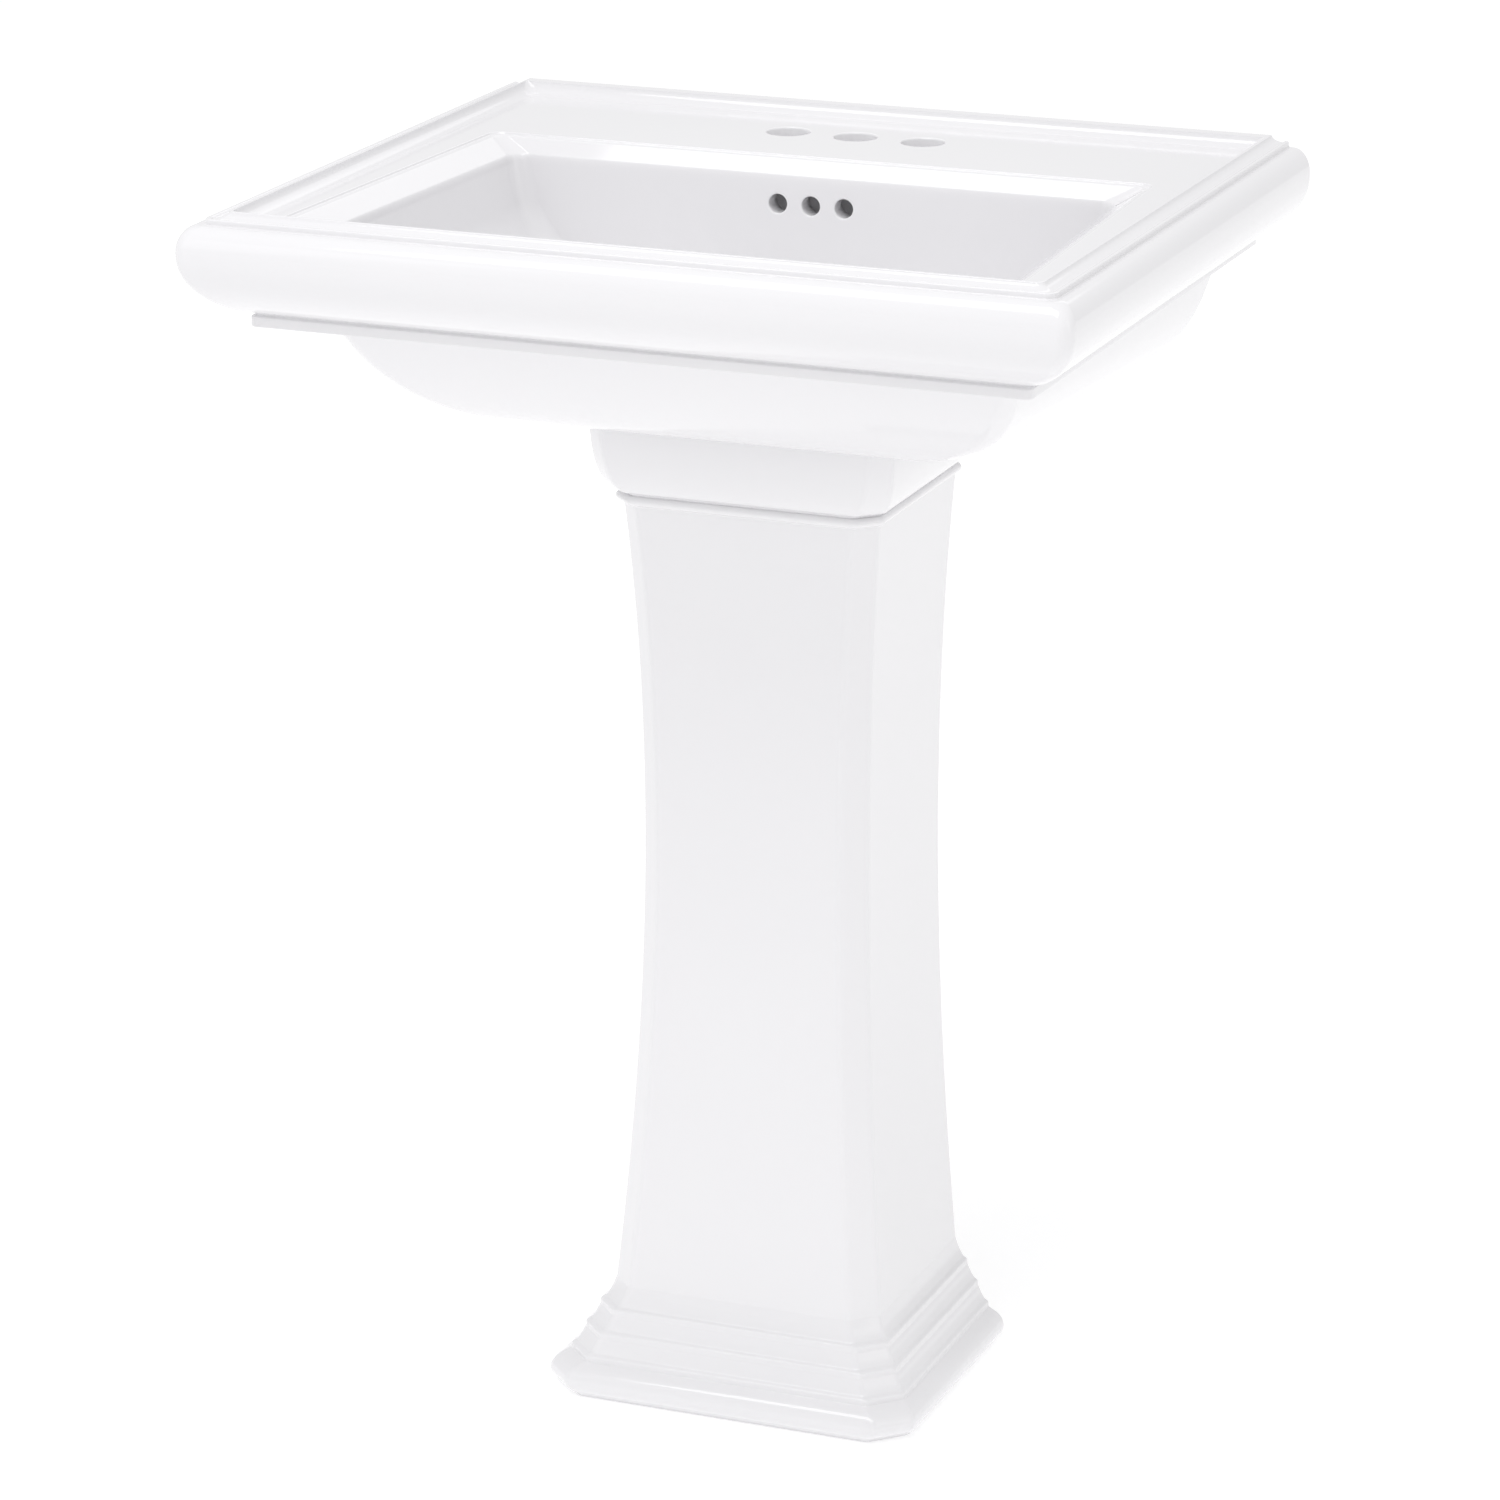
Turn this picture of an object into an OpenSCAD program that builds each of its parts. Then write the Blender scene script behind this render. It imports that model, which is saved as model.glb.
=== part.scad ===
// A pedestal washbasin of vitreous china: a rectangular basin with a moulded rim on a square
// pedestal with chamfered corners, with its wall and floor fixings, waste, stopper and trap.
// Millimetres, +Z up. The front faces -Y and the wall is at +Y. The origin is on the floor,
// at the centre of the pedestal's footprint.

/* [Basin] */
// Overall width across the rim's rounded nose
basin_w = 624; // [600:1:680]
// Overall depth from the front of the nose to the wall
basin_d = 526; // [510:1:560]
// Distance from the origin to the wall face
wall_y = 228; // [222:1:240]
// Height of the rim's top ridge above the floor
rim_z = 888; // [880:1:900]
// Height of the bowl's underside, which stands on the pedestal
body_z = 723; // [718:1:728]
// How far the deck lies below the ridge
deck_drop = 8.5; // [6:0.5:10]
// Width of the hollow slope from the ridge down to the deck
deck_cove = 11; // [9:0.5:13]
// Thickness of the deck over the space for the faucet
deck_t = 13; // [10:0.5:16]
// Distance from the origin to the back of the bowl's body
body_back = 125; // [118:1:132]

/* [Rim moulding] */
// Flat top of the inner ridge
ridge_w = 2; // [1.5:0.5:3]
// Width of the hollow between the two ridges
cove_w = 9; // [7:0.5:10]
// Depth of that hollow
cove_h = 4.5; // [3:0.5:5]
// Width of the outer ridge
bead_w = 3.5; // [3:0.5:5]
// Shelf between the outer ridge and the nose
shelf_w = 3.5; // [3:0.5:5]
// Width of the nose beyond the shelf
nose_w = 12.5; // [10:0.5:15]
// Height of the nose's upper curve
nose_top_h = 18; // [15:1:20]
// Height of the whole moulding, from the ridge to the foot of its lower fillet
moulding_h = 79; // [76:1:84]
// Height of the lower fillet
fillet_h = 7; // [5:0.5:8]

/* [Bowl] */
// Width of the opening at its back edge
bowl_w = 492; // [470:1:496]
// Angle by which each side of the opening spreads towards the front
bowl_spread = 2.6; // [1:0.1:3]
// Distance from the origin to the front edge of the opening
bowl_front = 256; // [250:1:256]
// Distance from the origin to the back edge of the opening
bowl_back = 78; // [72:1:80]
// Height of the bowl's floor
floor_z = 748; // [745:1:752]
// Width of the slanting lip inside the opening at the sides, at the back and at the front
lip_side = 22; // [18:1:24]
lip_end = 12; // [10:1:14]
lip_front = 50; // [46:1:54]
// Depth of the foot of the lip below the deck
lip_h = 12.5; // [10:0.5:14]
// Width of the bowl's flat floor
floor_w = 120; // [90:1:150]

/* [Holes in the basin] */
// Distance between neighbouring faucet holes
faucet_pitch = 50.8; // [50.8:0.1:50.8]
// Diameter of a faucet hole
faucet_d = 31; // [28:0.5:34]
// Distance of the faucet holes behind the origin
faucet_y = 154; // [150:1:156]
// Diameter of an overflow hole
overflow_d = 13.5; // [11:0.5:15]
// Distance between neighbouring overflow holes
overflow_pitch = 24.5; // [22:0.5:28]
// Height of the overflow holes
overflow_z = 847; // [842:1:850]
// Distance between the two wall bolts
hanger_pitch = 204; // [180:1:220]
// Height of the wall bolts
hanger_z = 800; // [792:1:804]

/* [Pedestal] */
// Width at the plinth
ped_w = 280; // [270:1:290]
// Depth at the plinth
ped_d = 216; // [210:1:222]
// Width at the narrowest place of the column
waist_w = 169; // [164:1:176]
// Width at the crease under the capital
crease_w = 189; // [184:1:196]
// Width of the capital
capital_w = 224; // [218:1:228]
// Thickness of the china wall
ped_wall = 11; // [9:0.5:12]
// Height where the column meets the base mouldings
foot_z = 76; // [74:1:80]
// Height of the narrowest place
waist_z = 410; // [380:1:440]
// Height of the crease under the capital
crease_z = 655; // [648:1:660]
// Thickness of a cushion pad between the pedestal and the basin
pad_t = 2; // [1.5:0.5:3]

/* [Waste and trap] */
// Distance of the drain from the origin, towards the wall
drain_y = -12; // [-13:0.5:-10]
// Outer radius of the waste pipes
pipe_r = 16; // [16:0.1:16]
// Wall of a waste pipe
pipe_t = 1.2; // [1:0.1:1.5]
// Height of the drain pipe's slip joint, at the mouth of the trap
inlet_z = 536; // [530:1:545]
// Radius of the trap's bend
bend_r = 42; // [42:1:43]
// Height of the horizontal trap arm
arm_z = 558; // [556:1:562]
// How far the arm and the wall bolts run into the wall
wall_embed = 30; // [20:1:40]
// Travel of the drain stopper
stopper_travel = 9; // [6:0.5:9]

/* [Hidden] */
$fn = 96;

// Over-length that makes a cut run clear of the faces it cuts
clear = 10;
// Long enough to cross the whole object
far = 1000;
// Gap between a thread and its nut, or a pipe and its ring
fit_gap = 0.15;

// Basin: half-widths of the ridge line at the side, and its distance at the front
moulding_w = ridge_w + cove_w + bead_w + shelf_w + nose_w;
ridge_half = basin_w / 2 - moulding_w;
ridge_front = basin_d - wall_y - moulding_w;
deck_z = rim_z - deck_drop;
wall_z = deck_z - lip_h;
// The china body under the rim: how far its curve's start, control and end stand in from the
// ridge line at the sides and at the front, and how much its sides close towards the front
soffit_z = rim_z - moulding_h;
side_inset = [8, 32, 130];
front_inset = [62, 109.5, 157];
body_taper = 4.9;
// Height where the rim and the bowl meet, and the plane where the deck meets them both
split_z = soffit_z - 3;
split_y = body_back + 3;
// Top of the ridge along the wall
back_ridge_w = 10;
// The back apron, and the skirt round the faucet space
apron_half = 190;
apron_z = 770;
apron_t = 16;
skirt_t = 16;
// Small step round the opening, above the lip
step_h = 1.5;
step_w = 4;
// Widths of the bowl's curved walls at the front, the back and the sides
front_curve = 110;
back_curve = 12;
side_curve = bowl_w / 2 - lip_side - floor_w / 2;
// Drain hole, the flange's seat, and the overflow passage
drain_hole_r = 22.5;
seat_r = 32;
seat_h = 3;
chamber_w = 72;
chamber_y = [79, 97];
chamber_z = [728, 860];
duct_w = 28;
duct_z = [729, 738];
hanger_hole_d = 14;

// Pedestal
ped_top = body_z - pad_t;
ped_back = ped_d / 2;
front_offset = (ped_w - ped_d) / 2;
plinth_z = 25;
plinth_r = [14, 12];
rib_count = 3;
rib_lip = 4;
rib_h = (foot_z - plinth_z - rib_lip) / rib_count;
rib_w = (ped_w / 2 - plinth_r.x + 2 - (waist_w / 2 + 18)) / rib_count;
foot_half = waist_w / 2 + 17;
web_t = 14;
web_y = [-25, 85];
web_half = ped_w / 2 - 10;
floor_bolt_y = 60;
floor_hole_d = 12;
bridge_h = 26;

// Fixings
bolt_r = 5;
nut_r = 9.8;
nut_h = 8;
washer_r = 14;
washer_t = 2;
bolt_free = 14;
lag_r = 4.8;
lag_gap = 0.5;

// Waste: the drain body's flange, thread and bore
flange_r = 31;
flange_t = 2;
seal_t = 1.5;
thread_r = 19;
bore_r = 14.5;
socket_top = 680;
drain_bottom = 655;
port_r = 4;
gasket_h = 12;
locknut_h = 12;
locknut_r = 32;
drain_washer_t = 2;
flange_top = floor_z - seat_h + seal_t + flange_t;

// Stopper, drawn open, one travel above the flange
cap_r = 22;
cap_h = 4;
cap_edge = 1.5;
cap_gap = 0.5;
stem_r = 4;
stem_len = 58;
stopper_z = flange_top + cap_gap + stopper_travel;
hub_r = 8;
hub_z = [704, 724];
spoke_t = 2.5;

// Trap: collars, slip nuts and washers
collar_r = 20;
collar_h = 24;
trap_r = 17.5;
trap_t = 2.5;
slip_r = 24;
slip_h = 18;
slip_lip = 4;
slip_washer_h = 3.5;
overlap_in = 18;
tail_bottom = inlet_z - overlap_in;
bend_z = 470;
outlet_y = drain_y + 2 * bend_r;
outlet_z = bend_z + 38;
elbow_r = 28;
elbow_y = outlet_y + elbow_r;
groove_w = 1.5;
groove_h = 0.4;
escutcheon_r = 38;
escutcheon_t = 8;

// Points along an ellipse's arc, and along a curve with one control point
function arc(c, r, a0, a1, n) =
    [for (i = [0:n]) let (a = a0 + (a1 - a0) * i / n) [c.x + r.x * cos(a), c.y + r.y * sin(a)]];
function curve(p0, p1, p2, n) =
    [for (i = [0:n]) let (t = i / n) (1 - t) * (1 - t) * p0 + 2 * t * (1 - t) * p1 + t * t * p2];
function mirrored(pts) = concat(pts, [for (i = [len(pts) - 1:-1:0]) [-pts[i].x, pts[i].y]]);

// The rim moulding from its ridge down to the foot of the fillet, as [distance, height]
function moulding(at) =
    let (bead_x = ridge_w + cove_w, shelf_x = bead_x + bead_w, nose_x = shelf_x + shelf_w,
         bead_z = -cove_h + 1, shelf_z = -cove_h - 3, nose_z = shelf_z - nose_top_h,
         quirk_z = -moulding_h + fillet_h + 3)
    [for (p = concat(
        [[0, 0]],
        arc([bead_x, 0], [cove_w, cove_h], 180, 270, 5),
        [[bead_x + 1, bead_z], [shelf_x, bead_z], [shelf_x, shelf_z]],
        arc([nose_x, nose_z], [nose_w, nose_top_h], 90, 0, 8),
        curve([nose_x + nose_w, nose_z], [nose_x + nose_w, nose_z - 28], [-1, quirk_z + 1.5], 9),
        [[-2.5, quirk_z], [-2.5, quirk_z - 2], [-0.5, quirk_z - 3], [-0.5, -moulding_h]]))
        [at + p.x, rim_z + p.y]];

// The convex underside of the bowl, from the rim's soffit down to the flat that stands on the
// pedestal, drawn inwards from x = 0 at the ridge line
function underside(inset) = concat([[-inset[0], soffit_z + clear]],
    curve([-inset[0], soffit_z], [-inset[1], body_z], [-inset[2], body_z], 14));

// Half-width of the pedestal against height
function column_half(z) = z < waist_z
    ? waist_w / 2 + (foot_half - waist_w / 2) * pow((waist_z - z) / (waist_z - foot_z), 1.85)
    : waist_w / 2 + (crease_w - waist_w) / 2 * pow((z - waist_z) / (crease_z - waist_z), 2.2);
function pedestal_side() = concat(
    [[ped_w / 2 - plinth_r.x / 2, 0]],
    arc([ped_w / 2 - plinth_r.x, plinth_r.y], plinth_r, -55, 65, 6),
    [for (i = [0:rib_count - 1], p = [[0, 0], [0, rib_lip], [-0.62 * rib_w, 0.55 * rib_h]])
        [ped_w / 2 - plinth_r.x + 2 - i * rib_w + p.x, plinth_z + i * rib_h + p.y]],
    [for (i = [0:7]) let (z = foot_z + (waist_z - foot_z) * i / 8) [column_half(z), z]],
    [for (i = [0:7]) let (z = waist_z + (crease_z - waist_z) * i / 7) [column_half(z), z]],
    arc([crease_w / 2 + 1, crease_z + 4.5], [3.5, 3.5], -80, 80, 4),
    arc([crease_w / 2 + 3, ped_top - 9], [capital_w / 2 - crease_w / 2 - 3,
        ped_top - crease_z - 19], -90, 0, 8),
    [[capital_w / 2, ped_top]]);
// Width of the chamfer at a height
function chamfer(z) = lookup(z, [[0, 23], [foot_z, 17], [crease_z, 15], [ped_top, 13]]);

// Extrudes an outline drawn as [across, height] along Y or along X
module along_y(y0, y1) translate([0, y1, 0]) rotate([90, 0, 0]) linear_extrude(y1 - y0) children();
module along_x(w) rotate([90, 0, 90]) linear_extrude(w, center = true) children();

// A ring or a pipe round the drain's axis
module ring(r_out, r_in, z0, z1) {
    translate([0, drain_y, z0]) difference() {
        cylinder(r = r_out, h = z1 - z0);
        translate([0, 0, -clear]) cylinder(r = r_in, h = z1 - z0 + 2 * clear);
    }
}

module box(lo, hi) translate(lo) cube(hi - lo);

// An outline closed far behind its edge
module slab(edge) polygon(concat([[-far, edge[0].y]], edge, [[-far, edge[len(edge) - 1].y]]));

module rim_moulding() {
    intersection() {
        along_y(-far, wall_y) polygon(mirrored(concat([[0, rim_z]], moulding(ridge_half),
            [[0, soffit_z]])));
        along_x(2 * far) scale([-1, 1]) polygon(concat([[-wall_y, rim_z]], moulding(ridge_front),
            [[-wall_y, soffit_z]]));
    }
}

module body_side() {
    translate([ridge_half, body_back, 0]) rotate([90, 0, -body_taper])
        linear_extrude(2 * far, center = true) slab(underside(side_inset));
}

module bowl_body() {
    intersection() {
        body_side();
        mirror([1, 0, 0]) body_side();
        along_x(2 * far) translate([-ridge_front, 0]) scale([-1, 1]) slab(underside(front_inset));
        box([-far, -far, 0], [far, body_back, far]);
    }
}

// The space over the deck, with a cove up to the ridge on every side
module deck_space() {
    cove = [deck_cove, deck_drop];
    top = rim_z + clear;
    back = wall_y - back_ridge_w;
    intersection() {
        along_y(-far, far) polygon(mirrored(concat([[ridge_half, top]],
            arc([ridge_half - deck_cove, rim_z], cove, 0, -90, 6))));
        along_x(2 * far) polygon(concat([[-ridge_front, top]],
            arc([-ridge_front + deck_cove, rim_z], cove, 180, 270, 6),
            arc([back - deck_cove, rim_z], cove, 270, 360, 6), [[back, top]]));
    }
}

// One side of the opening and the bowl: the step, the slanting lip and the curved wall
module bowl_side() {
    wall_h = wall_z - floor_z;
    translate([bowl_w / 2, bowl_back, 0]) rotate([90, 0, bowl_spread])
        linear_extrude(2 * far, center = true) slab(concat(
            [[0, deck_z + clear], [0, deck_z - step_h], [-step_w, deck_z - step_h]],
            arc([-lip_side - side_curve, wall_z], [side_curve, wall_h], 0, -90, 14)));
}

module bowl_space() {
    wall_h = wall_z - floor_z;
    step_z = deck_z - step_h;
    intersection() {
        bowl_side();
        mirror([1, 0, 0]) bowl_side();
        along_x(2 * bowl_w) polygon(concat(
            [[bowl_back, deck_z + clear], [bowl_back, step_z], [bowl_back - step_w, step_z]],
            arc([bowl_back - lip_end - back_curve, wall_z], [back_curve, wall_h], 0, -90, 10),
            arc([-bowl_front + lip_front + front_curve, wall_z], [front_curve, wall_h], 270, 180, 12),
            [[-bowl_front + step_w, step_z], [-bowl_front, step_z], [-bowl_front, deck_z + clear]]));
    }
}

module overflow_passage() {
    for (i = [-1:1]) translate([i * overflow_pitch, 0, overflow_z]) rotate([-90, 0, 0])
        cylinder(d = overflow_d, h = chamber_y[0] + 1);
    box([-chamber_w / 2, chamber_y[0], chamber_z[0]], [chamber_w / 2, chamber_y[1], chamber_z[1]]);
    box([-duct_w / 2, drain_y, duct_z[0]], [duct_w / 2, chamber_y[0] + 1, duct_z[1]]);
}

// The basin is one casting. It is given as three solids that meet at flat faces: the rim and
// the bowl below it, and the deck for the faucet behind them.
module basin() {
    difference() {
        union() {
            difference() {
                union() {
                    rim_moulding();
                    bowl_body();
                }
                box([-ridge_half + skirt_t, body_back, body_z],
                    [ridge_half - skirt_t, wall_y - apron_t, deck_z - deck_t]);
            }
            box([-apron_half, wall_y - apron_t, apron_z], [apron_half, wall_y, deck_z - 1]);
        }
        deck_space();
        bowl_space();
        translate([0, drain_y, body_z - clear]) cylinder(r = drain_hole_r, h = far);
        translate([0, drain_y, floor_z - seat_h]) cylinder(r = seat_r, h = 2 * seat_h);
        overflow_passage();
        for (i = [-1:1]) translate([i * faucet_pitch, faucet_y, deck_z - deck_t - clear])
            cylinder(d = faucet_d, h = deck_t + 2 * clear);
        for (s = [-1, 1]) translate([s * hanger_pitch / 2, wall_y - apron_t - clear, hanger_z])
            rotate([-90, 0, 0]) cylinder(d = hanger_hole_d, h = apron_t + 2 * clear);
    }
}

module rim() {
    color([0.96, 0.96, 0.97]) intersection() {
        basin();
        box([-far, -far, split_z], [far, split_y, far]);
    }
}

module bowl() {
    color([0.93, 0.94, 0.96]) intersection() {
        basin();
        box([-far, -far, 0], [far, split_y, split_z]);
    }
}

module faucet_deck() {
    color([0.95, 0.95, 0.93]) intersection() {
        basin();
        box([-far, split_y, 0], [far, far, far]);
    }
}

// The pedestal's outer shape, or with a wall thickness the space inside it, open to the back
module pedestal_form(inset, back) {
    over = inset > 0 ? clear : 0;
    side = pedestal_side();
    half = concat([[side[0].x - inset, -over]], [for (p = side) [p.x - inset, p.y]],
        [[capital_w / 2 - inset, ped_top + over]]);
    front = [for (p = half) [p.x - front_offset, p.y]];
    diagonal = [for (p = half) [(2 * p.x - front_offset - chamfer(p.y) + (2 - sqrt(2)) * inset)
        / sqrt(2), p.y]];
    intersection() {
        along_y(-far, back) polygon(mirrored(half));
        along_x(far) scale([-1, 1]) slab(front);
        rotate([90, 0, -45]) linear_extrude(far, center = true) slab(diagonal);
        rotate([90, 0, -135]) linear_extrude(far, center = true) slab(diagonal);
    }
}

module pedestal() {
    bridge_half = capital_w / 2 - ped_wall / 2 - 4;
    color([0.94, 0.94, 0.95]) difference() {
        union() {
            difference() {
                pedestal_form(0, ped_back);
                pedestal_form(ped_wall, far);
            }
            box([-web_half, web_y[0], 0], [web_half, web_y[1], web_t]);
            box([-bridge_half, ped_back - ped_wall, ped_top - bridge_h],
                [bridge_half, ped_back, ped_top]);
        }
        translate([0, floor_bolt_y, -clear]) cylinder(d = floor_hole_d, h = web_t + 2 * clear);
    }
}

module cushion_pads() {
    front_y = -(capital_w / 2 - front_offset - ped_wall / 2);
    color([0.85, 0.85, 0.83]) for (s = [-1, 1], y = [front_y, ped_back - ped_wall / 2])
        box([s * 52 - 13, y - 4, ped_top], [s * 52 + 13, y + 4, body_z]);
}

// Places the wall fixings: each is drawn along Z and turned towards the wall
module at_hangers(y) {
    for (s = [-1, 1]) translate([s * hanger_pitch / 2, y, hanger_z]) rotate([-90, 0, 0]) children();
}

module nut(h, r, hole_r) {
    difference() {
        cylinder(r = r, h = h, $fn = 6);
        translate([0, 0, -clear]) cylinder(r = hole_r, h = h + 2 * clear);
    }
}

module washer(r_out, r_in, t) {
    difference() {
        cylinder(r = r_out, h = t);
        translate([0, 0, -clear]) cylinder(r = r_in, h = t + 2 * clear);
    }
}

// Each bolt has a metric end in the basin and a thinner lag end in the wall
module hanger_bolts() {
    len = bolt_free + apron_t + washer_t + lag_gap;
    color("silver") {
        at_hangers(wall_y + lag_gap - len) cylinder(r = bolt_r, h = len);
        at_hangers(wall_y + lag_gap) cylinder(r = lag_r, h = wall_embed - lag_gap);
    }
}

module hanger_washers() {
    color("silver") at_hangers(wall_y - apron_t - washer_t) washer(washer_r, bolt_r + fit_gap, washer_t);
}

module hanger_nuts() {
    color("silver") at_hangers(wall_y - apron_t - washer_t - nut_h) nut(nut_h, nut_r, bolt_r + fit_gap);
}

module floor_bolt() {
    color("silver") translate([0, floor_bolt_y, 0.5])
        cylinder(r = bolt_r, h = web_t + washer_t + nut_h + 6);
}

module floor_washer() {
    color("silver") translate([0, floor_bolt_y, web_t]) washer(washer_r, bolt_r + fit_gap, washer_t);
}

module floor_nut() {
    color("silver") translate([0, floor_bolt_y, web_t + washer_t]) nut(nut_h, nut_r, bolt_r + fit_gap);
}

module drain_body() {
    flange_z = flange_top - flange_t;
    color("silver") difference() {
        union() {
            ring(flange_r, bore_r, flange_z, flange_top);
            ring(thread_r, bore_r, drain_bottom, flange_z + 1);
        }
        translate([0, drain_y, flange_z]) cylinder(r1 = bore_r, r2 = bore_r + 1.6, h = flange_t + 0.01);
        translate([0, drain_y, drain_bottom - clear])
            cylinder(r = pipe_r + fit_gap, h = socket_top - drain_bottom + clear);
        for (a = [0, 90]) translate([0, drain_y, (duct_z[0] + duct_z[1]) / 2]) rotate([90, 0, a])
            cylinder(r = port_r, h = 3 * thread_r, center = true);
    }
}

module flange_seal() {
    color("white") ring(flange_r - 1, drain_hole_r, floor_z - seat_h, floor_z - seat_h + seal_t);
}

module drain_gasket() {
    color("dimgray") translate([0, drain_y, body_z - gasket_h]) difference() {
        cylinder(r1 = locknut_r - 2, r2 = drain_hole_r + 3, h = gasket_h);
        translate([0, 0, -clear]) cylinder(r = thread_r + fit_gap, h = gasket_h + 2 * clear);
    }
}

module drain_washer() {
    z = body_z - gasket_h - drain_washer_t;
    color("gainsboro") ring(locknut_r - 2, thread_r + fit_gap, z, z + drain_washer_t);
}

module drain_locknut() {
    color("gold") translate([0, drain_y, body_z - gasket_h - drain_washer_t - locknut_h])
        nut(locknut_h, locknut_r, thread_r + fit_gap);
}

// The fixed guide in the drain's bore: a hub on three spokes
module stopper_cartridge() {
    color("white") translate([0, drain_y, hub_z[0]]) difference() {
        intersection() {
            union() {
                cylinder(r = hub_r, h = hub_z[1] - hub_z[0]);
                for (a = [0, 120, 240]) rotate([0, 0, a]) translate([0, -spoke_t / 2, 0])
                    cube([2 * bore_r, spoke_t, 8]);
            }
            cylinder(r = bore_r - fit_gap, h = far);
        }
        translate([0, 0, -clear]) cylinder(r = stem_r + 0.06, h = far);
    }
}

module stopper_cap() {
    color("silver") translate([0, drain_y, stopper_z]) rotate_extrude() polygon(concat(
        [[0, 0], [cap_r, 0]],
        arc([0, cap_edge], [cap_r, cap_h - cap_edge], 0, 90, 8)));
}

module stopper_stem() {
    color("silver") translate([0, drain_y, stopper_z - stem_len]) cylinder(r = stem_r, h = stem_len);
}

module stopper_seal() {
    color("dimgray") ring(bore_r - 0.6, bore_r - 4, stopper_z - 2.5, stopper_z);
}

module tailpiece() {
    color("silver") ring(pipe_r, pipe_r - pipe_t, tail_bottom, socket_top - 2);
}

// A slip nut over a collar whose mouth is at the drawn origin, and its washer
module slip_nut() {
    depth = slip_h - slip_lip - slip_washer_h - 0.5;
    difference() {
        translate([0, 0, -depth]) cylinder(r = slip_r, h = slip_h, $fn = 8);
        translate([0, 0, -far]) cylinder(r = collar_r + fit_gap, h = far + slip_h - depth - slip_lip);
        cylinder(r = pipe_r + fit_gap, h = far);
    }
}

module slip_washer() {
    translate([0, 0, 0.2]) washer(collar_r - 0.2, pipe_r + fit_gap, slip_washer_h);
}

module inlet_slip_nut() {
    color("silver") translate([0, drain_y, inlet_z]) slip_nut();
}

module inlet_slip_washer() {
    color("white") translate([0, drain_y, inlet_z]) slip_washer();
}

module outlet_slip_nut() {
    color("silver") translate([0, outlet_y, outlet_z]) slip_nut();
}

module outlet_slip_washer() {
    color("white") translate([0, outlet_y, outlet_z]) slip_washer();
}

// Two legs and a half-turn of pipe, as a solid rod
module trap_rod(r) {
    translate([0, drain_y, bend_z]) cylinder(r = r, h = inlet_z - collar_h - bend_z);
    translate([0, outlet_y, bend_z]) cylinder(r = r, h = outlet_z - collar_h - bend_z);
    translate([0, drain_y + bend_r, bend_z]) rotate([0, 90, 0]) rotate([0, 0, -90])
        rotate_extrude(angle = 180) translate([bend_r, 0]) circle(r);
}

module trap_bend() {
    color("silver") difference() {
        union() {
            trap_rod(trap_r);
            for (p = [[drain_y, inlet_z], [outlet_y, outlet_z]])
                translate([0, p[0], p[1] - collar_h]) cylinder(r = collar_r, h = collar_h);
        }
        trap_rod(trap_r - trap_t);
        for (p = [[drain_y, inlet_z], [outlet_y, outlet_z]]) {
            translate([0, p[0], p[1] - collar_h - 1]) cylinder(r = trap_r - trap_t, h = collar_h);
            translate([0, p[0], p[1] - overlap_in - 0.3]) cylinder(r = pipe_r + fit_gap, h = collar_h);
        }
    }
}

// The arm's own path: up from the trap, round the elbow and into the wall
module arm_rod(r, over) {
    z0 = outlet_z - overlap_in;
    translate([0, outlet_y, z0 - over]) cylinder(r = r, h = arm_z - elbow_r - z0 + over);
    translate([0, elbow_y, arm_z - elbow_r]) rotate([0, 90, 0]) rotate([0, 0, 180])
        rotate_extrude(angle = 90) translate([elbow_r, 0]) circle(r);
    translate([0, elbow_y, arm_z]) rotate([-90, 0, 0])
        cylinder(r = r, h = wall_y + wall_embed - elbow_y + over);
}

// A shallow groove marks how far the arm goes into the wall
module trap_arm() {
    color("silver") difference() {
        arm_rod(pipe_r, 0);
        arm_rod(pipe_r - pipe_t, 1);
        translate([0, wall_y + lag_gap, arm_z]) rotate([-90, 0, 0])
            washer(pipe_r + clear, pipe_r - groove_h, groove_w);
    }
}

module wall_escutcheon() {
    color("silver") translate([0, wall_y, arm_z]) rotate([90, 0, 0]) difference() {
        cylinder(r1 = escutcheon_r, r2 = escutcheon_r - 14, h = escutcheon_t);
        translate([0, 0, -clear]) cylinder(r = pipe_r + fit_gap, h = escutcheon_t + 2 * clear);
    }
}

rim();
bowl();
faucet_deck();
pedestal();
cushion_pads();
hanger_bolts();
hanger_washers();
hanger_nuts();
floor_bolt();
floor_washer();
floor_nut();
drain_body();
flange_seal();
drain_gasket();
drain_washer();
drain_locknut();
stopper_cartridge();
stopper_cap();
stopper_stem();
stopper_seal();
tailpiece();
inlet_slip_nut();
inlet_slip_washer();
trap_bend();
outlet_slip_nut();
outlet_slip_washer();
trap_arm();
wall_escutcheon();
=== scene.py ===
import math
import bpy
import bmesh
from mathutils import Matrix, Vector


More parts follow.
